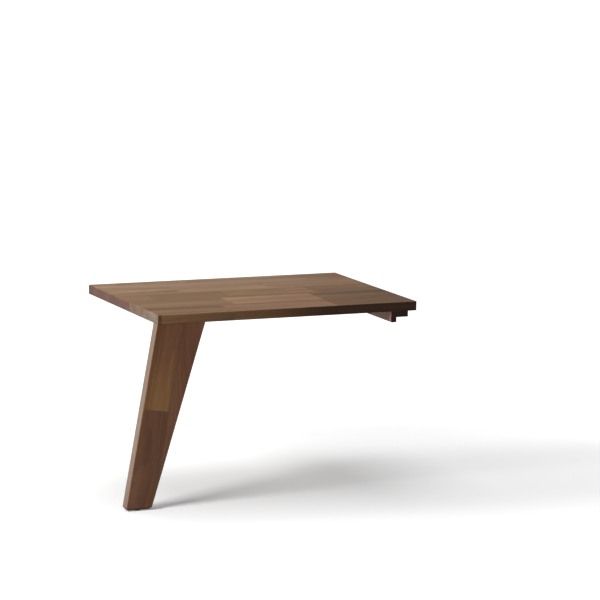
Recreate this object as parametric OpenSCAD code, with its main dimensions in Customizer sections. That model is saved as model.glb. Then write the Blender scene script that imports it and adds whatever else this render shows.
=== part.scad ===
// Clip-on bedside shelf: a staved wooden top that stands on one splayed leg at its
// outer front corner and hooks over the side rail of a bed at its other end.
//
// Frame: +Z up, +X from the free end towards the bed, +Y from the front edge to the back.
// Origin: middle of the rail seat, the underside of the strip that lies on the bed rail.

/* [Bed rail] */
// Height of the rail's top above the floor
rail_height = 391; // [320:1:460]
// Thickness of the rail that the clip goes over
rail_t = 27; // [20:0.5:40]

/* [Shelf top] */
// Width from the free end to the bed-side end
top_w = 610; // [480:1:760]
// Depth from the front edge to the back edge
top_d = 457; // [360:1:560]
// Thickness of the glued-up panel
top_t = 21; // [17:0.5:28]
// Radius of its eased upper edges and upright corners
top_ease = 2; // [0.5:0.25:4]
// Radius of its eased lower edges, small so that the leg meets them without a groove
under_ease = 0.8; // [0.3:0.1:1.5]
// How far the top runs on past the rail, over the mattress edge
overhang = 21; // [12:1:40]

/* [Leg] */
// Width of the leg where it meets the top
leg_top_w = 110; // [90:1:140]
// Width of the leg at the floor
leg_foot_w = 58; // [40:1:80]
// Thickness of the leg plank
leg_t = 27; // [22:0.5:36]
// How far the foot stands out past the free end of the top
leg_splay = 70; // [30:1:110]
// Radius of the leg's eased long edges
leg_ease = 1.5; // [0.5:0.25:3]
// Chamfer round the sole of the foot
foot_chamfer = 5; // [2:0.5:8]

/* [Clip] */
// Thickness of the packing strip between the top and the rail
spacer_t = 12.7; // [11:0.1:20]
// Thickness of the tongue that hangs down outside the rail
tongue_t = 12.7; // [11:0.1:20]
// How far the tongue hangs below the packing strip
tongue_drop = 11.3; // [9.3:0.1:28]
// Radius of the tongue's eased lower edges
tongue_ease = 2; // [0.5:0.25:4]
// Thickness of the non-slip strips
pad_t = 1; // [0.5:0.1:2]
// Width of the strip under the packing strip
seat_pad_w = 24; // [12:1:26]
// Height of the strip on the inner face of the tongue
stop_pad_h = 7; // [4:0.5:8]
// How far the non-slip strips stop short of the clip's ends
pad_inset = 6; // [2:1:30]
// Number of screws that hold the packing strip to the top
clip_screw_count = 4; // [2:1:6]
// Distance from the outermost clip screws to the ends of the clip
clip_screw_inset = 38; // [25:1:60]
// Diameter of the dowels between the packing strip and the tongue
clip_dowel_d = 6; // [4:0.5:8]
// Length of those dowels
clip_dowel_l = 24; // [18:1:26]
// Depth of their holes in the tongue
clip_dowel_in_tongue = 8; // [6:0.5:9]

/* [Leg joint] */
// Length of the steel angle along the leg
angle_l = 70; // [64:1:76]
// Height of its flange on the back of the leg
angle_h = 45; // [40:1:60]
// Width of its flange under the top
angle_w = 36; // [34:1:50]
// Thickness of its steel
angle_t = 3; // [2:0.5:4]
// Radius of its outer corners
angle_corner = 7; // [3:1:10]
// Inside radius of its fold
angle_fold = 3; // [1.5:0.5:4]
// Length of its gusset's two sides
gusset_leg = 24; // [16:1:28]
// Distance from the leg's outer top corner to the middle of the angle
angle_offset = 52; // [48:1:54]
// Distance between the two leg bolts
bolt_spacing = 40; // [34:1:44]
// Depth of the bolts below the underside of the top
bolt_drop = 28; // [24:1:30]
// Distance between the screws along the angle
angle_screw_spacing = 50; // [40:1:52]
// Distance from the back of the leg to the first row of angle screws
angle_screw_row = 12; // [10:1:14]
// Distance between the two rows of angle screws
angle_screw_step = 15; // [12:1:16]
// Diameter of the dowels that locate the leg
leg_dowel_d = 8; // [6:0.5:10]
// Depth of their holes in the leg
leg_dowel_in_leg = 16; // [12:1:18]
// Depth of their holes in the top
leg_dowel_in_top = 12; // [8:0.5:13]
// Distance from the leg's outer top corner to the first dowel
leg_dowel_offset = 20; // [14:1:26]
// Distance between the two dowels
leg_dowel_spacing = 64; // [56:1:66]

/* [Fasteners] */
// Diameter of the leg bolts
bolt_d = 6; // [5:0.5:6]
// Length of the leg bolts under the head
bolt_l = 16; // [14:1:18]
// Diameter of the leg bolts' heads
bolt_head_d = 10.5; // [9:0.25:11]
// Height of the leg bolts' heads
bolt_head_h = 3.3; // [2.5:0.1:4]
// Width across the flats of the socket in the bolt heads
bolt_key = 4; // [3:0.5:5]
// Outer diameter of the washers
washer_d = 12.5; // [12:0.5:16]
// Thickness of the washers
washer_t = 1.2; // [0.8:0.1:2]
// Outer diameter of the threaded inserts
insert_d = 10; // [9:0.5:12]
// Length of the threaded inserts
insert_l = 13; // [11:0.5:14]
// Diameter of the angle screws
angle_screw_d = 4; // [3.5:0.1:4.5]
// Length of the angle screws
angle_screw_l = 16; // [12:0.5:18]
// Diameter of the clip screws
clip_screw_d = 4.5; // [3.5:0.1:5]
// Length of the clip screws
clip_screw_l = 28; // [22:1:30]

/* [Foot glide] */
// Diameter of the nylon glide
glide_d = 16; // [12:0.5:16]
// Thickness of the glide
glide_t = 2; // [1.5:0.1:4]
// Diameter of its nail
glide_nail_d = 2.5; // [2:0.1:3]
// Length of its nail in the wood
glide_nail_l = 18; // [12:1:25]
// Thickness of the nail's head
glide_head_h = 0.8; // [0.5:0.1:1]

/* [Hidden] */
$fn = 48;

// Gap left round every dowel, screw, bolt and insert, and past the end of its hole
fit_gap = 0.05;
end_gap = 1;
// How far a cutter runs on past the face that it opens
past = 1;

// Heights, from the rail seat at Z = 0
spacer_z = pad_t;
top_z = spacer_z + spacer_t;
surface_z = top_z + top_t;
floor_z = -rail_height;
sole_z = floor_z + glide_t;
tongue_z = spacer_z - tongue_drop;
leg_h = top_z - sole_z;

// Lengths across the clip, from the middle of the seat at X = 0
spacer_w = rail_t + pad_t;
spacer_x = -spacer_w / 2;
tongue_x = spacer_x - tongue_t;
bed_end_x = spacer_w / 2 + overhang;
free_end_x = bed_end_x - top_w;
front_y = -top_d / 2;
leg_back_y = front_y + leg_t;

// Positions along the clip: the dowels sit midway between the screws
clip_screw_pitch = (top_d - 2 * clip_screw_inset) / (clip_screw_count - 1);
clip_screw_y = [for (i = [0 : clip_screw_count - 1]) front_y + clip_screw_inset + i * clip_screw_pitch];
clip_dowel_y = [for (i = [0 : clip_screw_count - 2]) clip_screw_y[i] + clip_screw_pitch / 2];
clip_dowel_z = spacer_z + spacer_t / 2;

// Positions at the leg joint
angle_x = free_end_x + angle_offset;
bolt_x = [angle_x - bolt_spacing / 2, angle_x + bolt_spacing / 2];
bolt_z = top_z - bolt_drop;
leg_dowel_x = free_end_x + leg_dowel_offset;
leg_dowel_places = [for (i = [0, 1]) [leg_dowel_x + i * leg_dowel_spacing, front_y + leg_t / 2]];
angle_screw_places = [
    for (side = [-1, 1], row = [0, 1])
        [angle_x + side * angle_screw_spacing / 2, leg_back_y + angle_screw_row + row * angle_screw_step]
];

// The foot's middle, where the glide is nailed on
foot_x = free_end_x - leg_splay + leg_foot_w / 2;
foot_y = front_y + leg_t / 2;

// Screw heads are as wide as two shanks and taper at 45 degrees to the shank
function head_r(d) = d;
function head_h(d) = d / 2;

// ---- shapes that repeat ----

// Rectangle from the origin with its corners rounded: r lists them anticlockwise from the origin
module eased_rect(size, r) {
    corners = [[0, 0], [size.x, 0], [size.x, size.y], [0, size.y]];
    difference() {
        square(size);
        for (i = [0 : 3])
            if (r[i] > 0)
                translate(corners[i]) rotate(90 * i)
                    difference() {
                        translate([-past, -past]) square(r[i] + past);
                        translate([r[i], r[i]]) circle(r[i]);
                    }
    }
}

// Bar along Y whose section, seen from the front, is drawn by the children
module along_y(from, length) {
    translate([0, from + length, 0]) rotate([90, 0, 0]) linear_extrude(length) children();
}

// Bar along X whose section, seen from the bed side, is drawn by the children
module along_x(from, length) {
    translate([from, 0, 0]) rotate([90, 0, 90]) linear_extrude(length) children();
}

// Cutter that takes away what lies right of the line from p to q, as far as reach
module beyond_line(p, q, reach) {
    u = (q - p) / norm(q - p);
    n = [u.y, -u.x];
    polygon([p - u * reach, q + u * reach, q + (u + n) * reach, p + (n - u) * reach]);
}

// Board from its lowest corner: its upper edges and upright corners are eased by one
// radius and its lower edges by another
module eased_board(size, upper, lower) {
    edges = [lower, lower, upper, upper];
    intersection() {
        linear_extrude(size.z) eased_rect([size.x, size.y], [upper, upper, upper, upper]);
        along_y(-past, size.y + 2 * past) eased_rect([size.x, size.z], edges);
        along_x(-past, size.x + 2 * past) eased_rect([size.y, size.z], edges);
    }
}

// Dowel along Z, standing on the origin, with chamfered ends
module dowel(d, l) {
    chamfer = 1;
    rotate_extrude()
        polygon([[0, 0], [d / 2 - chamfer, 0], [d / 2, chamfer], [d / 2, l - chamfer], [d / 2 - chamfer, l], [0, l]]);
}

// Countersunk wood screw along Z: its flat head lies at Z = 0 and its point is up
module wood_screw(d, l) {
    tip = d * 1.2;
    recess = d * 0.9;
    difference() {
        rotate_extrude()
            polygon([[0, 0], [head_r(d), 0], [d / 2, head_h(d)], [d / 2, l - tip], [0, l]]);
        for (turn = [0, 90])
            rotate(turn) translate([-recess / 2, -d * 0.11, -past]) cube([recess, d * 0.22, past + d * 0.4]);
    }
}

// Hole for that screw: countersink, then a bore as deep as the screw and its end gap
module wood_screw_hole(d, l) {
    rotate_extrude()
        polygon([
            [0, -past], [head_r(d) + fit_gap + past, -past], [d / 2 + fit_gap, head_h(d)],
            [d / 2 + fit_gap, l + end_gap], [0, l + end_gap]
        ]);
}

// ---- the pieces ----

// Glued-up top, drilled from below for the clip screws, angle screws and leg dowels
module shelf_top() {
    color("#8c6a50") difference() {
        translate([free_end_x, front_y, top_z]) eased_board([top_w, top_d, top_t], top_ease, under_ease);
        for (y = clip_screw_y)
            translate([0, y, spacer_z]) wood_screw_hole(clip_screw_d, clip_screw_l);
        for (place = angle_screw_places)
            translate([place.x, place.y, top_z - angle_t]) wood_screw_hole(angle_screw_d, angle_screw_l);
        for (place = leg_dowel_places)
            translate([place.x, place.y, top_z - past])
                cylinder(r = leg_dowel_d / 2 + fit_gap, h = leg_dowel_in_top + past);
    }
}

// Leg plank before drilling: it leans outwards, tapers to the floor, and has a chamfered sole
module leg_blank() {
    run_out = leg_top_w + leg_splay - leg_foot_w;
    outer_lean = atan(leg_splay / leg_h);
    inner_lean = atan(run_out / leg_h);
    stock_w = leg_top_w + leg_splay;
    stock_l = 2 * leg_h;
    sole = [-leg_splay, leg_foot_w - leg_splay];
    c = foot_chamfer;
    translate([free_end_x, front_y, top_z]) difference() {
        intersection() {
            // stock whose outer edge leans with the splay
            rotate([0, outer_lean, 0]) translate([0, 0, -stock_l])
                linear_extrude(2 * stock_l) eased_rect([stock_w, leg_t], [leg_ease, 0, 0, leg_ease]);
            // stock whose inner edge leans with the taper
            translate([leg_top_w, 0, 0]) rotate([0, inner_lean, 0]) translate([-stock_w, 0, -stock_l])
                linear_extrude(2 * stock_l) eased_rect([stock_w, leg_t], [0, leg_ease, leg_ease, 0]);
            // cut level at the top and at the sole
            translate([-stock_w, -past, -leg_h]) cube([2 * stock_w, leg_t + 2 * past, leg_h]);
        }
        // chamfers at the outer and the inner end of the sole, then along its front and back
        along_y(-past, leg_t + 2 * past) {
            beyond_line([sole[0] + c * leg_splay / leg_h, c - leg_h], [sole[0] + c, -leg_h], 2 * c);
            beyond_line([sole[1] - c, -leg_h], [sole[1] + c * run_out / leg_h, c - leg_h], 2 * c);
        }
        along_x(-stock_w, 2 * stock_w) {
            beyond_line([0, c - leg_h], [c, -leg_h], 2 * c);
            beyond_line([leg_t - c, -leg_h], [leg_t, c - leg_h], 2 * c);
        }
    }
}

// Leg with its dowel holes, insert pockets and nail hole
module leg() {
    color("#6b4a36") difference() {
        leg_blank();
        for (place = leg_dowel_places)
            translate([place.x, place.y, top_z - leg_dowel_in_leg])
                cylinder(r = leg_dowel_d / 2 + fit_gap, h = leg_dowel_in_leg + past);
        for (x = bolt_x)
            translate([x, leg_back_y + past, bolt_z]) rotate([90, 0, 0])
                cylinder(r = insert_d / 2 + fit_gap, h = insert_l + end_gap + past);
        translate([foot_x, foot_y, sole_z - past])
            cylinder(r = glide_nail_d / 2 + fit_gap, h = glide_nail_l + end_gap + past);
    }
}

// Packing strip that carries the top on the rail, drilled for screws and cross dowels
module clip_spacer() {
    inner_ease = 1;
    color("#5a3d2c") difference() {
        along_y(front_y, top_d) translate([spacer_x, spacer_z])
            eased_rect([spacer_w, spacer_t], [0, inner_ease, 0, 0]);
        for (y = clip_screw_y)
            translate([0, y, spacer_z]) wood_screw_hole(clip_screw_d, clip_screw_l);
        for (y = clip_dowel_y)
            translate([spacer_x - past, y, clip_dowel_z]) rotate([0, 90, 0])
                cylinder(r = clip_dowel_d / 2 + fit_gap, h = clip_dowel_l - clip_dowel_in_tongue + end_gap + past);
    }
}

// Tongue that hangs outside the rail, with eased lower edges
module clip_tongue() {
    color("#5a3d2c") difference() {
        along_y(front_y, top_d) translate([tongue_x, tongue_z])
            eased_rect([tongue_t, spacer_t + tongue_drop], [tongue_ease, tongue_ease, 0, 0]);
        for (y = clip_dowel_y)
            translate([spacer_x - clip_dowel_in_tongue, y, clip_dowel_z]) rotate([0, 90, 0])
                cylinder(r = clip_dowel_d / 2 + fit_gap, h = clip_dowel_in_tongue + past);
    }
}

// Cross dowels between the packing strip and the tongue
module clip_dowels() {
    color("#d9c29b") for (y = clip_dowel_y)
        translate([spacer_x - clip_dowel_in_tongue, y, clip_dowel_z]) rotate([0, 90, 0])
            dowel(clip_dowel_d, clip_dowel_l);
}

// Screws up through the packing strip into the top
module clip_screws() {
    color("#b8b4a8") for (y = clip_screw_y)
        translate([0, y, spacer_z]) wood_screw(clip_screw_d, clip_screw_l);
}

// Non-slip strip that rests on the rail
module seat_pad() {
    color("#2b2724") translate([-seat_pad_w / 2, front_y + pad_inset, 0])
        cube([seat_pad_w, top_d - 2 * pad_inset, pad_t]);
}

// Non-slip strip on the tongue, in the middle of the face that is left below the packing strip
module stop_pad() {
    face_h = tongue_drop - tongue_ease;
    color("#2b2724") translate([spacer_x, front_y + pad_inset, spacer_z - (face_h + stop_pad_h) / 2])
        cube([pad_t, top_d - 2 * pad_inset, stop_pad_h]);
}

// Folded steel angle with a gusset, behind the leg and under the top
module leg_angle() {
    web = gusset_leg + angle_t;
    outer_r = angle_fold + angle_t;
    bury = outer_r - (angle_fold + angle_t / 2) / sqrt(2);
    color("#33312f") translate([angle_x, leg_back_y, top_z]) difference() {
        union() {
            // the two flanges, with the fold's inside and outside radius
            intersection() {
                along_x(-angle_l / 2, angle_l) union() {
                    translate([0, -angle_h]) square([angle_t, angle_h - outer_r]);
                    translate([outer_r, -angle_t]) square([angle_w - outer_r, angle_t]);
                    translate([outer_r, -outer_r]) difference() {
                        circle(outer_r);
                        circle(angle_fold);
                        translate([0, -2 * outer_r]) square([2 * outer_r, 4 * outer_r]);
                        translate([-2 * outer_r, -2 * outer_r]) square([4 * outer_r, 2 * outer_r]);
                    }
                }
                translate([-angle_l / 2, -past, -angle_h - past])
                    linear_extrude(angle_h + 2 * past)
                        eased_rect([angle_l, angle_w + past], [0, 0, angle_corner, angle_corner]);
                along_y(-past, angle_w + 2 * past) translate([-angle_l / 2, -angle_h])
                    eased_rect([angle_l, angle_h + past], [angle_corner, angle_corner, 0, 0]);
            }
            // the gusset across the inside of the fold
            along_x(-angle_t / 2, angle_t)
                polygon([
                    [angle_t / 2, -outer_r], [bury, -bury], [outer_r, -angle_t / 2],
                    [web, -angle_t / 2], [web, -angle_t], [angle_t, -web], [angle_t / 2, -web]
                ]);
        }
        for (place = angle_screw_places)
            translate([place.x - angle_x, place.y - leg_back_y, -angle_t])
                wood_screw_hole(angle_screw_d, angle_screw_l);
        for (x = bolt_x)
            translate([x - angle_x, -past, -bolt_drop]) rotate([-90, 0, 0])
                cylinder(r = bolt_d / 2 + fit_gap, h = angle_t + 2 * past);
    }
}

// Screws up through the angle into the top
module angle_screws() {
    color("#b8b4a8") for (place = angle_screw_places)
        translate([place.x, place.y, top_z - angle_t]) wood_screw(angle_screw_d, angle_screw_l);
}

// Button-head bolts with a hexagon socket, through the washers and the angle into the inserts
module leg_bolts() {
    rim = 0.6;
    dome_h = bolt_head_h - rim;
    dome_r = (dome_h ^ 2 + (bolt_head_d / 2) ^ 2) / (2 * dome_h);
    key_depth = 2;
    color("#8f8d86") for (x = bolt_x)
        translate([x, leg_back_y + angle_t + washer_t, bolt_z]) rotate([90, 0, 0]) difference() {
            union() {
                cylinder(d = bolt_d, h = bolt_l);
                intersection() {
                    translate([0, 0, -bolt_head_h]) cylinder(d = bolt_head_d, h = bolt_head_h);
                    translate([0, 0, dome_r - bolt_head_h]) sphere(dome_r);
                }
            }
            translate([0, 0, -bolt_head_h - past])
                cylinder(d = bolt_key / cos(30), h = key_depth + past, $fn = 6);
        }
}

// Washers under the bolt heads
module leg_washers() {
    color("#b8b4a8") for (x = bolt_x)
        translate([x, leg_back_y + angle_t + washer_t, bolt_z]) rotate([90, 0, 0]) difference() {
            cylinder(d = washer_d, h = washer_t);
            translate([0, 0, -past]) cylinder(r = bolt_d / 2 + fit_gap, h = washer_t + 2 * past);
        }
}

// Brass inserts, flush with the back of the leg, with a slot across their mouths
module leg_inserts() {
    slot_w = 1.5;
    slot_h = 2;
    color("#b59a5b") for (x = bolt_x)
        translate([x, leg_back_y, bolt_z]) rotate([90, 0, 0]) difference() {
            cylinder(d = insert_d, h = insert_l);
            translate([0, 0, -past]) cylinder(r = bolt_d / 2 + fit_gap, h = insert_l + 2 * past);
            translate([-insert_d, -slot_w / 2, -past]) cube([2 * insert_d, slot_w, slot_h + past]);
        }
}

// Dowels that locate the leg under the top
module leg_dowels() {
    color("#d9c29b") for (place = leg_dowel_places)
        translate([place.x, place.y, top_z - leg_dowel_in_leg + end_gap])
            dowel(leg_dowel_d, leg_dowel_in_leg + leg_dowel_in_top - 2 * end_gap);
}

// Nylon glide under the foot, with a pocket for the head of its nail
module foot_glide() {
    rim = 0.5;
    head_pocket = head_r(glide_nail_d) + fit_gap;
    pocket_h = glide_head_h + fit_gap;
    color("#3a332e") translate([foot_x, foot_y, floor_z]) rotate_extrude()
        polygon([
            [0, 0], [glide_d / 2 - rim, 0], [glide_d / 2, rim], [glide_d / 2, glide_t],
            [head_pocket, glide_t], [head_pocket, glide_t - pocket_h], [0, glide_t - pocket_h]
        ]);
}

// Nail of the glide: its head is held between the glide and the wood
module glide_nail() {
    shank = glide_nail_d / 2;
    color("#b8b4a8") translate([foot_x, foot_y, sole_z]) rotate_extrude()
        polygon([
            [0, -glide_head_h], [head_r(glide_nail_d), -glide_head_h], [head_r(glide_nail_d), 0],
            [shank, 0], [shank, glide_nail_l - 2 * shank], [0, glide_nail_l]
        ]);
}

shelf_top();
leg();
clip_spacer();
clip_tongue();
clip_dowels();
clip_screws();
seat_pad();
stop_pad();
leg_angle();
angle_screws();
leg_bolts();
leg_washers();
leg_inserts();
leg_dowels();
foot_glide();
glide_nail();
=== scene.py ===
"""Clip-on bedside shelf: its finishes and small fasteners, in a plain pale studio."""
import math

import bpy
import numpy as np
from mathutils import Matrix, Vector


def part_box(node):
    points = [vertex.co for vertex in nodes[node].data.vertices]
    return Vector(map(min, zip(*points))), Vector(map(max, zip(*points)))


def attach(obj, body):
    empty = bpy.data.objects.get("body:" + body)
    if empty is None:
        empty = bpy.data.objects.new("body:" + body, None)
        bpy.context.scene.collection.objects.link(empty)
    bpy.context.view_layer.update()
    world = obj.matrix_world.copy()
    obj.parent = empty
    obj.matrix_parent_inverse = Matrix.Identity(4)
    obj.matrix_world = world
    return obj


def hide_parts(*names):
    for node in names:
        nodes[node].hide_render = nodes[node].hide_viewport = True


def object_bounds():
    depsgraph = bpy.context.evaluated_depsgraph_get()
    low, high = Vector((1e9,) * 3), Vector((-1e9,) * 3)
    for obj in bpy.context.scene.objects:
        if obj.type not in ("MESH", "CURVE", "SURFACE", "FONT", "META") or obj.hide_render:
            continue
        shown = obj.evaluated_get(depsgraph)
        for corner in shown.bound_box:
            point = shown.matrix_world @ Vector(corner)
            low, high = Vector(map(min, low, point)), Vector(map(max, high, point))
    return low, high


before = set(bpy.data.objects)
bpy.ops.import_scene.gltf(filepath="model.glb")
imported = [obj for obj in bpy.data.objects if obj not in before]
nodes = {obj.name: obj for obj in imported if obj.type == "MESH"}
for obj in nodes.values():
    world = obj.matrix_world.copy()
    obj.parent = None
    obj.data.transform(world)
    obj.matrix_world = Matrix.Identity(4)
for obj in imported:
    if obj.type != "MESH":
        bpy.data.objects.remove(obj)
cad_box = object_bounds()


# ---- The shelf top --------------------------------------------------------------------
# A panel glued up from short walnut staves in five rows, planed flat and sealed with satin
# lacquer. The leg stands under its free end, and the clip is glued under the other.

# The woods of the staves and of the sawn edges, and after them those of the end grain; some of
# these colours are painted shade and painted sheen, as said where they are used
PALE = (0.366, 0.225, 0.134)
GOLDEN = (0.342, 0.204, 0.113)
FAWN = (0.286, 0.157, 0.078)
BROWN = (0.268, 0.148, 0.074)
HAZEL = (0.262, 0.142, 0.067)
UMBER = (0.208, 0.110, 0.051)
ROSE = (0.402, 0.228, 0.125)
BLUSH = (0.352, 0.191, 0.104)
ROSY = (0.268, 0.137, 0.070)
MOCHA = (0.190, 0.086, 0.032)
SEPIA = (0.148, 0.076, 0.034)
EDGE_PAINTED_SHADE = (0.062, 0.032, 0.019)
DUN = (0.230, 0.164, 0.122)
DRAB = (0.204, 0.124, 0.080)
RUDDY = (0.142, 0.061, 0.041)

# From the front edge back: how far from the free end each stave of a row ends, and its wood
# Towards the clip end the last staves are darker, and most darken along their length: that darkening is
# painted shade and painted reflection.
TOP_ROWS = (
    ((0.175, UMBER), (0.420, ROSY), (0.610, MOCHA, SEPIA)),
    ((0.213, BROWN), (0.425, ROSE, BLUSH), (0.610, UMBER, SEPIA)),
    ((0.070, BROWN), (0.245, HAZEL), (0.450, FAWN), (0.610, UMBER)),
    ((0.160, GOLDEN), (0.375, GOLDEN), (0.610, GOLDEN, FAWN)),
    ((0.225, PALE), (0.410, PALE), (0.610, PALE, HAZEL)),
)
# The end grain of the two front rows is paler and greyer than the rest: painted sheen.
TOP_ENDS = (DUN, DRAB, RUDDY, RUDDY, RUDDY)
# Along the sawn edges the wood darkens towards the clip end to almost black: that darkening is painted
# shade. At the free end the first 9 mm of the edges is a darker strip.
TOP_EDGE = ((0.009, SEPIA), (0.175, HAZEL, UMBER), (0.420, UMBER, EDGE_PAINTED_SHADE), (0.610, EDGE_PAINTED_SHADE))
PORE = (0.060, 0.026, 0.014)
GLUE = (0.080, 0.038, 0.020)
GLUE_LINE = (0.00008, 0.00030)
LACQUER = 0.26
SATIN = 0.33
WOOD_RELIEF = 0.00006

# How squarely a face cuts the fibres or the rows before it is end grain or a sawn edge
END_FACE = (0.3, 0.8)
SAWN_FACE = (0.5, 0.95)

# Growth rings: the gap between two, how far their pith may lie from the middle of the stave
# and below it, how much it leans and wanders, in what part of a ring late wood grows and
# ends, and how many good or poor seasons there are to a ring
RING_GAP = 0.0036
PITH_ASIDE = 0.08
PITH_BELOW = 0.045
PITH_DEEPER = 0.070
PITH_LEAN = 0.06
PITH_WANDER = 0.034
LATE_GROWS = (0.20, 0.92)
LATE_ENDS = (0.94, 1.0)
SEASONS_PER_RING = 0.31

# Noises of the grain: how fine each is along the fibres and on the two axes across them, how
# far along them the next stave is taken from, and between which levels a pore opens
WANDER_SCALE = (2.6, 11.0, 11.0)
STREAK_SCALE = (1.5, 34.0, 34.0)
FIBRE_SCALE = (20.0, 760.0, 760.0)
PORE_SCALE = (34.0, 1350.0, 1350.0)
STAVE_SHIFT = 7.31
PORE_FROM = (0.60, 0.70)

# What the darkest and the lightest streaks make of a wood's colour
DEEP_TINT = (0.66, 0.60, 0.55)
LIGHT_TINT = (1.34, 1.40, 1.45)


class Wire:
    """One socket of a node tree. An operator on wires adds the Math node that works it out, or
    the Vector Math node where a wire holds a vector."""

    def __init__(self, tree, socket=None):
        self.tree = tree
        self.socket = socket

    def node(self, kind, settings=None, inputs=None, output=0):
        """Adds a node: its settings are set first, then the value or the wire of each input."""
        added = self.tree.nodes.new(kind)
        for name, value in (settings or {}).items():
            setattr(added, name, value)
        for name, value in (inputs or {}).items():
            if isinstance(value, Wire):
                self.tree.links.new(value.socket, added.inputs[name])
            else:
                added.inputs[name].default_value = value
        return Wire(self.tree, added.outputs[output])

    def maths(self, operation, *terms):
        """Math node on numbers, or Vector Math node where a term is a vector."""
        vectors = any(isinstance(t, Wire) and t.socket.type == "VECTOR" for t in terms)
        kind = "ShaderNodeVectorMath" if vectors else "ShaderNodeMath"
        return self.node(kind, {"operation": operation}, dict(enumerate(terms)))

    def __add__(self, other):
        return self.maths("ADD", self, other)

    def __radd__(self, other):
        return self.maths("ADD", other, self)

    def __sub__(self, other):
        return self.maths("SUBTRACT", self, other)

    def __rsub__(self, other):
        return self.maths("SUBTRACT", other, self)

    def __mul__(self, other):
        return self.maths("MULTIPLY", self, other)

    def __rmul__(self, other):
        return self.maths("MULTIPLY", other, self)

    def __pow__(self, power):
        return self.maths("POWER", self, power)

    def __abs__(self):
        return self.maths("ABSOLUTE", self)

    def least(self, other):
        """The smaller of two numbers."""
        return self.maths("MINIMUM", self, other)

    def over(self, limit):
        """1 where the wire is greater than the limit, and 0 elsewhere."""
        return self.maths("GREATER_THAN", self, limit)

    def dot(self, direction):
        """How far the vector reaches along a direction."""
        ends = {0: self, 1: direction}
        return self.node("ShaderNodeVectorMath", {"operation": "DOT_PRODUCT"}, ends, 1)

    def ease(self, low, high):
        """0 below low and 1 above high, with a smooth step between them."""
        ends = {0: self, 1: low, 2: high, 3: 0.0, 4: 1.0}
        return self.node("ShaderNodeMapRange", {"interpolation_type": "SMOOTHSTEP"}, ends)

    def parts(self):
        """The vector's or the colour's three numbers."""
        return [self.node("ShaderNodeSeparateXYZ", None, {0: self}, i) for i in range(3)]

    def mix(self, low, high, factor, way="MIX"):
        """Mix node between two numbers or two colours."""
        if isinstance(low, float) or isinstance(low, Wire) and low.socket.type == "VALUE":
            return self.node("ShaderNodeMix", {"data_type": "FLOAT"}, {0: factor, 2: low, 3: high})
        low, high = ((*c, 1.0) if isinstance(c, tuple) else c for c in (low, high))
        settings = {"data_type": "RGBA", "blend_type": way}
        return self.node("ShaderNodeMix", settings, {0: factor, 6: low, 7: high}, 2)

    def noise(self, place, scale, detail=2.0):
        """Noise from 0 to 1 at a place, with one scale or with one for each of the three axes."""
        scaled = self.maths("MULTIPLY", place, scale if isinstance(scale, tuple) else (scale,) * 3)
        return self.node("ShaderNodeTexNoise", None, {"Vector": scaled, "Scale": 1.0, "Detail": detail})


def new_finish(name):
    """Starts a material: returns it, its shader's node and a wire to write expressions with."""
    material = bpy.data.materials.new(name)
    material.use_nodes = True
    tree = material.node_tree
    return material, tree.nodes["Principled BSDF"], Wire(tree)


def drive(shader, wire, socket):
    """Lets a wire set one socket of the shader."""
    wire.tree.links.new(wire.socket, shader.inputs[socket])


def emboss(shader, height, distance, strength=1.0):
    """Gives the surface a relief: height is from 0 to 1, and distance its depth in metres."""
    depth = {"Height": height, "Distance": distance, "Strength": strength}
    drive(shader, height.node("ShaderNodeBump", None, depth), "Normal")


def board_place(start, origin, along, across):
    """How far a point lies along, across and through a board, from the board's own corner."""
    place = start.node("ShaderNodeTexCoord", output="Object") - tuple(origin)
    through = np.cross(along, across)
    return [place.dot(tuple(axis)) for axis in (along, across, through)]


def grain(x, y, z, aside, number, wood):
    """Colour, pores and fibres of wood whose fibres run along x.

    Rings are circles of radius sqrt((aside - a)^2 + (z - b)^2) round a pith that lies below the
    board, leans by c * x and wanders with a slow noise; a, b and c are random for each stave
    number. A ring darkens towards its late wood. Streaks, fibres and pores are noises drawn
    out along x."""
    random = x.node("ShaderNodeTexWhiteNoise", {"noise_dimensions": "1D"}, {"W": number}, 1).parts()
    place = x.node("ShaderNodeCombineXYZ", None, {0: x + number * STAVE_SHIFT, 1: y, 2: z})
    wander = x.noise(place, WANDER_SCALE, 1.0) - 0.5
    beside = aside - (random[0] - 0.5) * PITH_ASIDE
    below = z + PITH_BELOW + random[1] * PITH_DEEPER
    lean = x * (random[2] - 0.5) * PITH_LEAN
    radius = (beside * beside + below * below) ** 0.5 + lean + wander * PITH_WANDER
    count = radius * (1 / RING_GAP)
    years = {"W": count, "Scale": SEASONS_PER_RING}
    season = x.node("ShaderNodeTexNoise", {"noise_dimensions": "1D"}, years)
    phase = x.maths("FRACT", count + 0.9 * season)
    late = phase.ease(*LATE_GROWS) * (1.0 - phase.ease(*LATE_ENDS))
    streak = x.noise(place, STREAK_SCALE, 3.0)
    fibre = x.noise(place, FIBRE_SCALE, 2.0)
    pore = (x.noise(place, PORE_SCALE, 1.0) - 0.05 * late).ease(*PORE_FROM)
    shade = 0.5 + (streak - 0.5) * 1.5 + (season - 0.5) * 0.8
    shade = shade + (fibre - 0.5) * 0.4 - (late - 0.4) * 0.24
    deep = x.mix(wood, DEEP_TINT, 1.0, "MULTIPLY")
    light = x.mix(wood, LIGHT_TINT, 1.0, "MULTIPLY")
    colour = x.mix(x.mix(deep, light, shade), PORE, pore * 0.4)
    return colour, pore, fibre


def stave_at(x, row, number):
    """The wood and the number of the stave that x lies in, and how far x is from a joint. A
    stave of two woods changes from the first to the second along its length."""
    wood, seam, first = None, 1.0, 0.0
    for end, *woods in row:
        stave_wood = x.mix(woods[0], woods[1], x.ease(first, end)) if len(woods) > 1 else woods[0]
        if wood is None:
            wood = stave_wood
        else:
            beyond = x.over(first)
            wood = x.mix(wood, stave_wood, beyond)
            number = beyond + number
            seam = abs(x - first).least(seam)
        first = end
    return wood, number, seam


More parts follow.
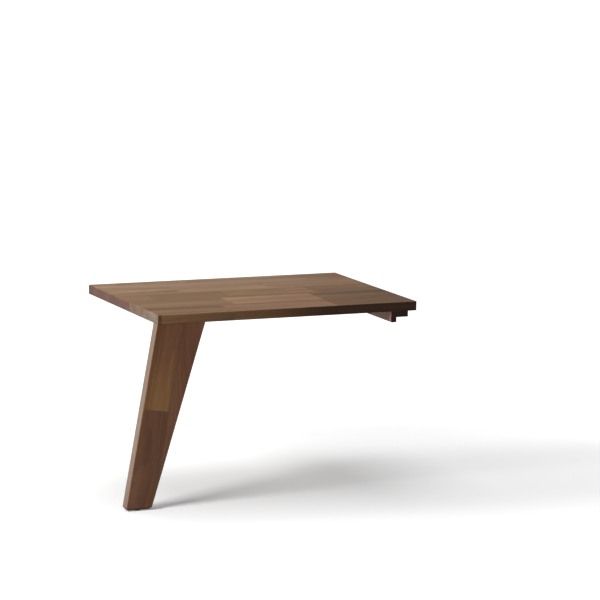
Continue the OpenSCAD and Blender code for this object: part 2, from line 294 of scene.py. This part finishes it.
def walnut(name, origin, along, across, row_width, rows, ends, edge, gloss):
    """Lacquered or oiled walnut, glued up from staves.

    A point's row is the band of row_width that its distance across lies in. Each joint shows as
    a hair of glue. Faces that cut the fibres have their own colour, one for each row, and so have
    the sawn edges along the board; some of these colours are painted shade and painted sheen.
    The gloss is the shader's specular level."""
    material, shader, start = new_finish(name)
    x, y, z = board_place(start, origin, along, across)
    wood, number, seam = stave_at(x, rows[0], 0.0)
    middle, end_wood, first = row_width / 2, ends[0], len(rows[0])
    for i, row in enumerate(rows[1:], 1):
        further = y.over(i * row_width)
        row_wood, row_number, row_seam = stave_at(x, row, float(first))
        wood = start.mix(wood, row_wood, further)
        number = start.mix(number, row_number, further)
        seam = start.mix(seam, row_seam, further).least(abs(y - i * row_width))
        middle = start.mix(middle, (i + 0.5) * row_width, further)
        end_wood = start.mix(end_wood, ends[i], further)
        first += len(row)
    normal = start.node("ShaderNodeNewGeometry", output="Normal")
    cut = abs(normal.dot(tuple(along))).ease(*END_FACE)
    sawn = abs(normal.dot(tuple(across))).ease(*SAWN_FACE)
    wood = start.mix(start.mix(wood, stave_at(x, edge, 0.0)[0], sawn), end_wood, cut)
    colour, pore, fibre = grain(x, y, z, y - middle, number, wood)
    relief = (1.0 - pore) * 0.5 + fibre * 0.2
    if len(rows) > 1:
        glue = 1.0 - seam.ease(*GLUE_LINE)
        colour = start.mix(colour, GLUE, glue * 0.55)
        relief = relief - glue * 0.4
    drive(shader, colour, "Base Color")
    drive(shader, SATIN + pore * 0.12 + cut * 0.25 + (fibre - 0.5) * 0.10, "Roughness")
    emboss(shader, relief, WOOD_RELIEF, 0.7)
    shader.inputs["Specular IOR Level"].default_value = gloss
    return material


def dress(node, material):
    """Gives a CAD node its finish."""
    nodes[node].material_slots[0].material = material


top_low, top_high = (np.array(corner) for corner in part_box("shelf_top"))
top_row = (top_high[1] - top_low[1]) / len(TOP_ROWS)
top_staves = (top_row, TOP_ROWS, TOP_ENDS, TOP_EDGE)
dress("shelf_top", walnut("top_walnut", top_low, (1, 0, 0), (0, 1, 0), *top_staves, LACQUER))


# ---- The clip strips ------------------------------------------------------------------
# Two solid walnut strips across the clip end, glued to each other and to the top: one packs
# the top up, and the other hangs lower as a tongue. They are oiled. Their ends are almost black:
# end grain takes the oil darker, and the rest of that darkness is painted shade.

DUSKY = (0.184, 0.083, 0.043)
BRICK = (0.315, 0.142, 0.086)
# Almost black end grain: darkened by oil, and deepened further with painted shade
OILED_END_AND_SHADE = (0.050, 0.030, 0.020)
OIL = 0.08
STRIP_REACH = 0.5

for strip in ("clip_spacer", "clip_tongue"):
    strip_low, strip_high = (np.array(corner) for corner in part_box(strip))
    strip_row, strip_edge = ((STRIP_REACH, DUSKY),), ((STRIP_REACH, BRICK),)
    strip_staves = (strip_high[0] - strip_low[0], (strip_row,), (OILED_END_AND_SHADE,), strip_edge)
    dress(strip, walnut(strip + "_walnut", strip_low, (0, 1, 0), (1, 0, 0), *strip_staves, OIL))


# ---- The clip's dowels ----------------------------------------------------------------
# Fluted beech dowels, glued in across the joint between the two strips. Their flutes let
# the air and the spare glue out of the holes.

BEECH = (0.560, 0.390, 0.225)
BEECH_STAVE = 40.0
BEECH_ROUGH = 0.62
BEECH_RELIEF = 0.00005
FLUTES = 18
FLUTE_COLUMNS = 6
FLUTE_DEPTH = 0.00035
DOWEL_CHAMFER = 0.001
SHARP = math.radians(32)


def box_of(node):
    """The middle and the size of a CAD node's box."""
    low, high = (np.array(corner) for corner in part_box(node))
    return (low + high) / 2, high - low


def in_row(middle, size, width, axis, count):
    """Middles of like fasteners, each of a width, spread evenly from end to end of an axis of
    the box that has that middle and size."""
    places = np.tile(middle, (count, 1))
    places[:, axis] += np.linspace(-0.5, 0.5, count) * (size[axis] - width)
    return places


def turned(parts, columns, spin=0.0):
    """Rings round the Z axis. Each part is the radius and the height of one ring or of many,
    and point j of a ring lies at the angle spin + 2 pi j / columns."""
    angle = spin + np.arange(columns) * 2 * np.pi / columns
    rings = [np.broadcast_arrays(np.atleast_2d(radius), height, angle) for radius, height in parts]
    radius, height, angle = (np.concatenate(arrays) for arrays in zip(*rings))
    return np.stack([radius * np.cos(angle), radius * np.sin(angle), height], -1)


def skin(node, material, capped, looped=()):
    """Makes the piece that stands for a CAD node, out of closed skins.

    Point j of ring k is grid[k, j], and a face joins points j and j + 1 of rings k and k + 1.
    A ring runs anticlockwise as seen from where the rings rise to, so faces point outwards.
    The first and the last ring are capped, or in a looped grid they join each other."""
    points, faces = np.zeros((0, 3)), []
    for grid, loops in [(grid, False) for grid in capped] + [(grid, True) for grid in looped]:
        rings, columns = grid.shape[:2]
        k, j = np.indices((rings if loops else rings - 1, columns))
        lower = len(points) + k * columns
        upper = len(points) + (k + 1) % rings * columns
        onward = (j + 1) % columns
        quads = np.stack([lower + j, lower + onward, upper + onward, upper + j], -1)
        faces += quads.reshape(-1, 4).tolist()
        if not loops:
            cap = len(points) + np.arange(columns)
            faces += [cap[::-1].tolist(), (cap + (rings - 1) * columns).tolist()]
        points = np.concatenate([points, grid.reshape(-1, 3)])
    mesh = bpy.data.meshes.new(node + "_skin")
    mesh.from_pydata(points.tolist(), [], faces)
    mesh.polygons.foreach_set("use_smooth", [True] * len(faces))
    mesh.set_sharp_from_angle(angle=SHARP)
    mesh.materials.append(material)
    piece = bpy.data.objects.new(node + "_piece", mesh)
    bpy.context.scene.collection.objects.link(piece)
    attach(piece, "root")
    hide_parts(node)


def dowel(d, length):
    """Dowel about the origin, along Z. Its radius is d / 2, less a chamfer at both ends, and
    less FLUTE_DEPTH * max(0, cos(FLUTES * angle)) in its flutes."""
    columns = FLUTES * FLUTE_COLUMNS
    flute = FLUTE_DEPTH * np.maximum(0, np.cos(np.arange(columns) * 2 * np.pi * FLUTES / columns))
    side = d / 2 - flute
    tip = side - DOWEL_CHAMFER
    inner, end = length / 2 - DOWEL_CHAMFER, length / 2
    return turned([(tip, -end), (side, -inner), (side, inner), (tip, end)], columns)


def beech(name, along, across):
    """Bare beech: walnut's grain in a pale wood, with shallow pores. Its stave number is one
    that no walnut has."""
    material, shader, start = new_finish(name)
    x, y, z = board_place(start, (0, 0, 0), along, across)
    colour, pore, fibre = grain(x, y, z, y, BEECH_STAVE, BEECH)
    drive(shader, colour, "Base Color")
    drive(shader, BEECH_ROUGH + (fibre - 0.5) * 0.2, "Roughness")
    emboss(shader, fibre - pore * 0.5, BEECH_RELIEF)
    return material


dowel_middle, dowel_size = box_of("clip_dowels")
clip_dowels = [
    dowel(dowel_size[2], dowel_size[0])[..., [2, 1, 0]] * (1, 1, -1) + place
    for place in in_row(dowel_middle, dowel_size, dowel_size[2], axis=1, count=3)
]
skin("clip_dowels", beech("clip_beech", (1, 0, 0), (0, 1, 0)), clip_dowels)


# ---- The clip's screws ----------------------------------------------------------------
# Zinc-plated countersunk screws with a cross recess, driven up through the packing strip
# into the top.

ZINC = (0.640, 0.620, 0.560)
CLOUD_LEVELS = (0.78, 1.16)
CLOUD_SCALE = 240.0
PIT_SCALE = 4200.0
PIT_DEPTH = 0.00002
RINGS_PER_PITCH = 10
SCREW_COLUMNS = 48
SCREW_PITCH = 0.0020
SCREW_TURN = 0.9
ARM_CORNER = math.radians(15)

# Shares of a screw's diameter, and shares of its length
SCREW_NECK = 0.36
SCREW_CORE = 0.31
NECK_ENDS = 0.31
THREAD_BEGINS = 0.32


def thread(start, end, core, crest, pitch):
    """Radius and height of the rings of a right-hand thread. The radius goes from core to
    crest with ((1 + cos(2 pi height / pitch - angle)) / 2)^2. The ridge rises from nothing over
    its first pitch and dies away over its last."""
    angle = np.arange(SCREW_COLUMNS) * 2 * np.pi / SCREW_COLUMNS
    height = np.arange(start, end, pitch / RINGS_PER_PITCH)[:, None]
    ridge = ((1 + np.cos(2 * np.pi * height / pitch - angle)) / 2) ** 2
    rise = np.clip(np.minimum(height - start, end - height) / pitch, 0, 1)
    return core + (crest - core) * ridge * rise, height


def cross_outline(arm):
    """Edge of a cross with four arms. Its distance from the middle is arm / cos(t) on the end of
    an arm, and arm * tan(ARM_CORNER) / sin(t) along its side, t from the arm's own direction."""
    angle = np.arange(SCREW_COLUMNS) * 2 * np.pi / SCREW_COLUMNS
    t = np.abs((angle + np.pi / 4) % (np.pi / 2) - np.pi / 4)
    return arm / np.maximum(np.cos(t), np.sin(t) / math.tan(ARM_CORNER))


def wood_screw(d, length, pitch, spin):
    """Countersunk screw up from its head at the origin: the cross recess, the head as wide as
    two shanks, the neck, the thread, and a point where everything tapers to nothing."""
    cross = cross_outline(0.5 * d)
    neck = SCREW_NECK * d
    side, height = thread(THREAD_BEGINS * length, length, SCREW_CORE * d, 0.5 * d, pitch)
    side = side * np.clip((length - height) / (1.2 * d), 0.02, 1)
    head = [(0.97 * d, 0), (0.965 * d, 0.035 * d), (neck, d - neck), (neck, NECK_ENDS * length)]
    recess = [(0.1 * cross, 0.5 * d), (0.6 * cross, 0.4 * d), (cross, 0)]
    return turned([*recess, *head, (side, height)], SCREW_COLUMNS, spin)


def plated(name, colour, roughness):
    """Plated steel: clouds in the plating change its tint and gloss, and fine pits dull it."""
    material, shader, start = new_finish(name)
    place = start.node("ShaderNodeTexCoord", output="Object")
    cloud = start.noise(place, CLOUD_SCALE, 3.0)
    pits = start.noise(place, PIT_SCALE)
    dark, light = (tuple(c * level for c in colour) for level in CLOUD_LEVELS)
    drive(shader, start.mix(dark, light, cloud), "Base Color")
    drive(shader, roughness + (cloud - 0.5) * 0.18 + (pits - 0.5) * 0.12, "Roughness")
    emboss(shader, pits, PIT_DEPTH)
    shader.inputs["Metallic"].default_value = 1.0
    return material


zinc = plated("zinc_plate", ZINC, roughness=0.30)
screw_middle, screw_size = box_of("clip_screws")
screw_d, screw_length = screw_size[0] / 2, screw_size[2]
screw_places = in_row(screw_middle, screw_size, screw_size[0], axis=1, count=4)
clip_screws = [
    wood_screw(screw_d, screw_length, SCREW_PITCH, i * SCREW_TURN) + place - (0, 0, screw_length / 2)
    for i, place in enumerate(screw_places)
]
skin("clip_screws", zinc, clip_screws)


# ---- The non-slip strips --------------------------------------------------------------
# Black rubber strips with fine ribs along their face, glued under the packing strip and on
# the tongue's inner face, so that the clip neither slides nor leaves a mark.

RUBBER = (0.022, 0.020, 0.019)
RUBBER_GRIT = (0.040, 0.037, 0.034)
RUBBER_ROUGH = 0.78
GRIT_SCALE = 2600.0
GRIT_DEPTH = 0.00008
DUST = (0.085, 0.078, 0.070)
DUST_SCALE = 90.0
RIB_PITCH = 0.0015
RIB_DEPTH = 0.0003
RIB_POINTS = 6


def ribbed_strip(node, inward):
    """Strip along Y whose ribbed face looks away from inward. The face lies at a depth of
    RIB_DEPTH * (1 - cos(2 pi n s)) / 2, where s goes from 0 to 1 across it and n is how many
    ribs there are."""
    middle, size = box_of(node)
    inward = np.array(inward)
    across = np.cross(inward, (0, 1, 0))
    width, thickness = abs(size @ across), abs(size @ inward)
    ribs = round(width / RIB_PITCH)
    s = np.linspace(0, 1, ribs * RIB_POINTS + 1)
    depth = np.append(RIB_DEPTH * (1 - np.cos(2 * np.pi * ribs * s)) / 2, (thickness, thickness))
    s = np.append(s, (1, 0))
    section = (s[:, None] - 0.5) * width * across + (depth[:, None] - thickness / 2) * inward
    return np.stack([middle + section + (0, y, 0) for y in (-size[1] / 2, size[1] / 2)])


def rubber():
    """Matt rubber: a fine grain, greyed in patches by dust."""
    material, shader, start = new_finish("strip_rubber")
    place = start.node("ShaderNodeTexCoord", output="Object")
    grit = start.noise(place, GRIT_SCALE, 3.0)
    dust = start.noise(place, DUST_SCALE, 3.0).ease(0.45, 0.75)
    grey = start.mix(RUBBER, RUBBER_GRIT, grit)
    drive(shader, start.mix(grey, DUST, dust * 0.35), "Base Color")
    drive(shader, RUBBER_ROUGH + (grit - 0.5) * 0.2, "Roughness")
    emboss(shader, grit, GRIT_DEPTH)
    return material


strip_rubber = rubber()
skin("seat_pad", strip_rubber, [ribbed_strip("seat_pad", (0, 0, 1))])
skin("stop_pad", strip_rubber, [ribbed_strip("stop_pad", (-1, 0, 0))])


# ---- The leg --------------------------------------------------------------------------
# One plank, glued up from staves that run nearly parallel to its outer edge, sawn to its
# taper and its splay. It is dowelled and bolted under the top, flush with two of its edges.

LEG_STAVE_LEAN = math.radians(9.1)
LEG_ROW = 0.0573
CHESTNUT = (0.200, 0.088, 0.046)
OLIVE = (0.300, 0.148, 0.060)
RUSSET = (0.194, 0.084, 0.046)
TAWNY = (0.238, 0.108, 0.058)
TAUPE = (0.229, 0.137, 0.084)
LEG_ROWS = (
    ((0.185, CHESTNUT, OLIVE), (0.420, DUSKY, CHESTNUT)),
    ((0.215, RUSSET, TAWNY), (0.420, TAWNY)),
)
# The leg's narrow sides take a paler, greyer wood than its faces: partly walnut's own edge, partly
# painted sheen.
LEG_EDGE = ((0.420, TAUPE),)

leg_low, leg_high = (np.array(corner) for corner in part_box("leg"))
leg_corner = (top_low[0], leg_low[1], leg_high[2])
leg_down = (-math.sin(LEG_STAVE_LEAN), 0, -math.cos(LEG_STAVE_LEAN))
leg_inward = (math.cos(LEG_STAVE_LEAN), 0, -math.sin(LEG_STAVE_LEAN))
leg_staves = (LEG_ROW, LEG_ROWS, (DUSKY, DUSKY), LEG_EDGE)
dress("leg", walnut("leg_walnut", leg_corner, leg_down, leg_inward, *leg_staves, LACQUER))


# ---- The leg's dowels -----------------------------------------------------------------
# Two thicker fluted beech dowels. They stand in the leg's upper end and reach up into the
# top, so that the leg can neither turn nor shift under it.

peg_middle, peg_size = box_of("leg_dowels")
peg_places = in_row(peg_middle, peg_size, peg_size[1], axis=0, count=2)
leg_dowels = [dowel(peg_size[1], peg_size[2]) + place for place in peg_places]
skin("leg_dowels", beech("leg_beech", (0, 0, 1), (0, 1, 0)), leg_dowels)


# ---- The leg's inserts ----------------------------------------------------------------
# Turned brass inserts, screwed into the back of the leg by the slot across their mouth: a
# coarse thread outside for the wood, and a fine one inside for the bolt.

BRASS = (0.640, 0.460, 0.190)
BRASS_ROUGH = 0.24
MARK_SCALE = (60.0, 5200.0, 60.0)
MARK_DEPTH = 0.00002
TARNISH = (0.380, 0.230, 0.090)
TARNISH_SCALE = 300.0
BOLT_R = 0.003
BOLT_PITCH = 0.001
BORE_PLAY = 0.00005
BORE_GROOVE = 0.0004
BORE_CHAMFER = 0.0003
INSERT_PITCH = 0.0025
INSERT_CORE = 0.83
INSERT_TIP = 0.78
INSERT_CHAMFER = 0.0004
SLOT_HALF = 0.00075
SLOT_DEPTH = 0.002
LUG_STEPS = 24


def insert_tube(radius, bore, length):
    """The insert below its slot, from the origin up: out along its coarse thread, in across
    its far end, and back down the grooves of its bore."""
    end = length - INSERT_CHAMFER
    outside = thread(SLOT_DEPTH, end, INSERT_CORE * radius, radius, INSERT_PITCH)
    inside, height = thread(SLOT_DEPTH, end, bore, bore + BORE_GROOVE, BOLT_PITCH)
    rims = [(INSERT_TIP * radius, length), (bore + BORE_GROOVE, length)]
    return turned([outside, *rims, (inside[::-1], height[::-1])], SCREW_COLUMNS)


def insert_lug(radius, bore, half_turn):
    """One of the two lugs beside the slot: the section between bore and outside, carried round
    the axis from one wall of the slot to the other. A point at the distance r starts and ends
    at the angle asin(SLOT_HALF / r) from the slot's middle, so both walls are flat."""
    outer = INSERT_CORE * radius
    foot = [(bore, SLOT_DEPTH), (outer, SLOT_DEPTH)]
    mouth = [(bore + BORE_CHAMFER, 0), (bore, BORE_CHAMFER)]
    section = np.array([*foot, (outer, INSERT_CHAMFER), (outer - INSERT_CHAMFER, 0), *mouth])
    r, height = section.T
    wall = np.arcsin(SLOT_HALF / r)
    angle = half_turn + wall + np.linspace(0, 1, LUG_STEPS)[:, None] * (np.pi - 2 * wall)
    return np.stack([r * np.cos(angle), r * np.sin(angle), height + 0 * angle], -1)


def brass():
    """Turned brass: fine tool marks round the axis, and a slight brown tarnish in patches."""
    material, shader, start = new_finish("turned_brass")
    place = start.node("ShaderNodeTexCoord", output="Object")
    marks = start.noise(place, MARK_SCALE, 2.0)
    tarnish = start.noise(place, TARNISH_SCALE, 3.0).ease(0.40, 0.75)
    drive(shader, start.mix(BRASS, TARNISH, tarnish * 0.6), "Base Color")
    drive(shader, BRASS_ROUGH + marks * 0.14 + tarnish * 0.14, "Roughness")
    emboss(shader, marks, MARK_DEPTH)
    shader.inputs["Metallic"].default_value = 1.0
    return material


insert_middle, insert_size = box_of("leg_inserts")
insert_radius, insert_length, insert_bore = insert_size[2] / 2, insert_size[1], BOLT_R + BORE_PLAY
insert_shapes = [insert_tube(insert_radius, insert_bore, insert_length)]
insert_shapes += [insert_lug(insert_radius, insert_bore, half_turn) for half_turn in (0, np.pi)]
tubes, lugs = [], []
for place in in_row(insert_middle, insert_size, insert_size[2], axis=0, count=2):
    mouth = place + (0, insert_length / 2, 0)
    tube, *pair = (shape[..., [0, 2, 1]] * (1, -1, 1) + mouth for shape in insert_shapes)
    tubes.append(tube)
    lugs += pair
skin("leg_inserts", brass(), lugs, tubes)


# ---- The angle and its screws ---------------------------------------------------------
# A folded steel angle with a welded gusset, powder coated matt black. Four short screws
# hold it under the top.

COAT_BLACK = (0.020, 0.0195, 0.019)
COAT_SPECK = (0.064, 0.062, 0.060)
COAT_ROUGH = 0.44
SPECK_SCALE = 3400.0
PEEL_SCALE = 620.0
PEEL_DEPTH = 0.00030
SHORT_D = 0.004
SHORT_PITCH = 0.0018
SHORT_TURN = 1.1


def powder_coat():
    """Powder coat: a shallow orange peel, fine grit in its gloss, and paler specks."""
    material, shader, start = new_finish("powder_coat")
    place = start.node("ShaderNodeTexCoord", output="Object")
    peel = start.noise(place, PEEL_SCALE, 1.0)
    grit = start.noise(place, SPECK_SCALE)
    drive(shader, start.mix(COAT_BLACK, COAT_SPECK, grit.ease(0.45, 0.75)), "Base Color")
    drive(shader, COAT_ROUGH + (grit - 0.5) * 0.26 + (peel - 0.5) * 0.14, "Roughness")
    emboss(shader, peel * 0.7 + grit * 0.3, PEEL_DEPTH)
    return material


dress("leg_angle", powder_coat())
short_middle, short_size = box_of("angle_screws")
angle_screws = []
for column in in_row(short_middle, short_size, 2 * SHORT_D, axis=0, count=2):
    for place in in_row(column, short_size, 2 * SHORT_D, axis=1, count=2):
        short_screw = wood_screw(SHORT_D, short_size[2], SHORT_PITCH, len(angle_screws) * SHORT_TURN)
        angle_screws.append(short_screw + place - (0, 0, short_size[2] / 2))
skin("angle_screws", zinc, angle_screws)


# ---- The leg bolts and their washers --------------------------------------------------
# Button-head bolts with a hexagon socket, which draw the leg against the angle. Their
# plating is duller than that of the washers.

DULL_ZINC = (0.430, 0.420, 0.400)
RIM = 0.0006
KEY = 0.004
KEY_DEPTH = 0.002
DRILL_POINT = 0.0008
DOME_RINGS = 9
HEAD_CHAMFER = 0.00015
BOLT_FILLET = 0.0001
BOLT_NECK = 0.0008
BOLT_CORE = 0.8
BOLT_TIP = 0.75


def bolt(head_r, head_h, length):
    """Bolt up from the underside of its head at the origin, with its head below: the socket
    from its drilled bottom to its mouth, the dome, the rim, the neck, and the thread with its
    chamfer.
    The socket's edge is KEY / 2 / cos(t) from the axis, t from the middle of its flat, and the
    dome is part of a sphere of radius dome_r."""
    angle = np.arange(SCREW_COLUMNS) * 2 * np.pi / SCREW_COLUMNS
    hexagon = KEY / 2 / np.cos((angle + np.pi / 6) % (np.pi / 3) - np.pi / 6)
    dome_h = head_h - RIM
    dome_r = (dome_h**2 + head_r**2) / (2 * dome_h)
    socket = [(0.05 * hexagon, KEY_DEPTH + DRILL_POINT - head_h), (hexagon, KEY_DEPTH - head_h)]
    mouth = 1.05 * hexagon
    dome = mouth + np.linspace(0, 1, DOME_RINGS)[:, None] * (0.985 * head_r - mouth)
    dome_z = dome_r - head_h - np.sqrt(dome_r**2 - dome**2)
    rim = [(head_r, -0.8 * RIM), (head_r, -HEAD_CHAMFER), (head_r - HEAD_CHAMFER, 0)]
    neck = [(BOLT_R + BOLT_FILLET, 0), (0.97 * BOLT_R, 0.0003)]
    side, height = thread(BOLT_NECK, length, BOLT_CORE * BOLT_R, BOLT_R, BOLT_PITCH)
    side = np.minimum(side, BOLT_TIP * BOLT_R + length - height)
    return turned([*socket, (dome, dome_z), *rim, *neck, (side, height)], SCREW_COLUMNS)


dress("leg_washers", zinc)
bolt_middle, bolt_size = box_of("leg_bolts")
washer_middle, washer_size = box_of("leg_washers")
under_head = washer_middle[1] + washer_size[1] / 2
head_h = bolt_middle[1] + bolt_size[1] / 2 - under_head
bolt_shape = bolt(bolt_size[2] / 2, head_h, bolt_size[1] - head_h)[..., [0, 2, 1]] * (1, -1, 1)
bolt_places = in_row(bolt_middle, bolt_size, bolt_size[2], axis=0, count=2)
leg_bolts = [bolt_shape + (x, under_head, z) for x, _, z in bolt_places]
skin("leg_bolts", plated("dull_zinc_plate", DULL_ZINC, roughness=0.42), leg_bolts)


# ---- The foot glide and its nail ------------------------------------------------------
# A moulded nylon disc under the foot, held by a zinc-plated nail. The nail's head lies
# inside the disc, so that only nylon touches the floor.

NYLON = (0.030, 0.023, 0.018)
NYLON_FLOW = (0.062, 0.050, 0.040)
NYLON_ROUGH = 0.46
FLOW_SCALE = (180.0, 420.0, 420.0)
MOULD_SCALE = 3000.0
MOULD_DEPTH = 0.00003


def nylon():
    """Moulded nylon: faint flow marks and a fine mould grain."""
    material, shader, start = new_finish("glide_nylon")
    place = start.node("ShaderNodeTexCoord", output="Object")
    flow = start.noise(place, FLOW_SCALE, 3.0)
    mould = start.noise(place, MOULD_SCALE)
    drive(shader, start.mix(NYLON, NYLON_FLOW, flow), "Base Color")
    drive(shader, NYLON_ROUGH + (mould - 0.5) * 0.24, "Roughness")
    emboss(shader, mould, MOULD_DEPTH)
    return material


dress("foot_glide", nylon())
dress("glide_nail", zinc)


# ---- The floor, the lamps and the camera ----------------------------------------------
# A pale matt floor under a white sky, a soft lamp from the front left, a larger one above
# and a little behind, and a long lens at the place that the photograph was taken from.

FLOOR_HALF = 60.0
FLOOR_SEEN = (0.90, 0.90, 0.90)
FLOOR_THROWS = (0.34, 0.34, 0.34)
BEHIND_SHELF = (-1.5, 0.5)

# The floor's glow: a part that is the same everywhere, one that grows to the front and to
# the back of the foot, and two that grow with the distance from it. Being least at the foot
# and in a band through it to its left and right, the glow whitens the shelf's real shadow
# elsewhere and leaves it only there: painted light on the floor.
GLOW_NEAR = 0.21
GLOW_BESIDE = 0.26
GLOW_FAR = 0.45
GLOW_EDGE = 0.15
BESIDE_FOOT = (0.10, 0.50)
FAR_OFF = (0.5, 2.2)
AT_EDGE = (1.6, 3.0)

# The sky's light on the scene, and how high up and how far to the left gloss sees it white
FILL = 0.12
HIGH_SKY = (0.25, 0.8)
LEFT_SKY = (0.1, -0.3)


def soft_lamp(name, place, target, size, power):
    """A square area lamp at a place, facing a target."""
    lamp = bpy.data.lights.new(name, "AREA")
    lamp.size = size
    lamp.energy = power
    holder = bpy.data.objects.new(name, lamp)
    bpy.context.scene.collection.objects.link(holder)
    holder.location = place
    holder.rotation_euler = (Vector(target) - Vector(place)).to_track_quat("-Z", "Y").to_euler()


floor_mesh = bpy.data.meshes.new("floor")
floor_corners = FLOOR_HALF * np.array([(-1, -1, 0), (1, -1, 0), (1, 1, 0), (-1, 1, 0)])
floor_mesh.from_pydata((floor_corners + (0, 0, cad_box[0][2])).tolist(), [], [(0, 1, 2, 3)])
floor = bpy.data.objects.new("floor", floor_mesh)
bpy.context.scene.collection.objects.link(floor)

# The camera sees the pale colour and the glow, and so does gloss where the floor lies behind
# the shelf. Every other ray meets the darker colour, and no glow.
floor_finish, floor_shader, start = new_finish("floor_paint")
spot = start.node("ShaderNodeTexCoord", output="Object")
behind = spot.parts()[1].ease(*BEHIND_SHELF)
mirrored = start.node("ShaderNodeLightPath", output="Is Glossy Ray")
seen = start.node("ShaderNodeLightPath", output="Is Camera Ray") + mirrored * behind
from_foot = spot - (leg_low[0], leg_low[1], cad_box[0][2])
distance = from_foot.dot(from_foot) ** 0.5
beside = abs(from_foot.parts()[1]).ease(*BESIDE_FOOT) * GLOW_BESIDE
far = distance.ease(*FAR_OFF) * GLOW_FAR + distance.ease(*AT_EDGE) * GLOW_EDGE
glow = seen * (GLOW_NEAR + beside + far)
drive(floor_shader, start.mix(FLOOR_THROWS, FLOOR_SEEN, seen), "Base Color")
drive(floor_shader, start.mix((0.0, 0.0, 0.0), (1.0, 1.0, 1.0), glow), "Emission Color")
floor_shader.inputs["Emission Strength"].default_value = 1.0
floor_shader.inputs["Roughness"].default_value = 1.0
floor_shader.inputs["Specular IOR Level"].default_value = 0.0
floor_mesh.materials.append(floor_finish)

world = bpy.data.worlds.new("studio")
bpy.context.scene.world = world
world.use_nodes = True
sky = Wire(world.node_tree)
direction = sky.node("ShaderNodeTexCoord", output="Generated").parts()
bright = (direction[2].ease(*HIGH_SKY) + direction[0].ease(*LEFT_SKY)).least(1.0)
camera_ray, glossy_ray, glass_ray = (
    sky.node("ShaderNodeLightPath", output=f"Is {ray} Ray")
    for ray in ("Camera", "Glossy", "Transmission")
)
background = world.node_tree.nodes["Background"]
background.inputs["Color"].default_value = (1, 1, 1, 1)
drive(background, sky.mix(FILL, 1.0, camera_ray + glossy_ray * bright + glass_ray), "Strength")

soft_lamp("lamp_left", place=(-2.2, -0.85, 1.15), target=(-0.45, -0.1, -0.05), size=0.8, power=46)
soft_lamp("lamp_above", place=(-0.35, 0.4, 3.0), target=(-0.35, 0.2, 0), size=2.0, power=37)

# The camera, solved from the shelf's straight edges in the photograph
CAMERA_LENS = 185.52
CAMERA_SENSOR = 36.0
CAMERA_PLACE = (-2.8185, -6.3613, 1.0932)
CAMERA_YAW = math.radians(22.761)
CAMERA_PITCH = math.radians(8.907)
CAMERA_ROLL = math.radians(0.668)
camera_lens = bpy.data.cameras.new("camera")
camera_lens.sensor_width = CAMERA_SENSOR
camera_lens.lens = CAMERA_LENS
camera = bpy.data.objects.new("camera", camera_lens)
bpy.context.scene.collection.objects.link(camera)
camera.matrix_world = (
    Matrix.Translation(CAMERA_PLACE)
    @ Matrix.Rotation(-CAMERA_YAW, 4, "Z")
    @ Matrix.Rotation(math.pi / 2 - CAMERA_PITCH, 4, "X")
    @ Matrix.Rotation(CAMERA_ROLL, 4, "Z")
)
bpy.context.scene.camera = camera
bpy.context.scene.view_settings.view_transform = "Standard"
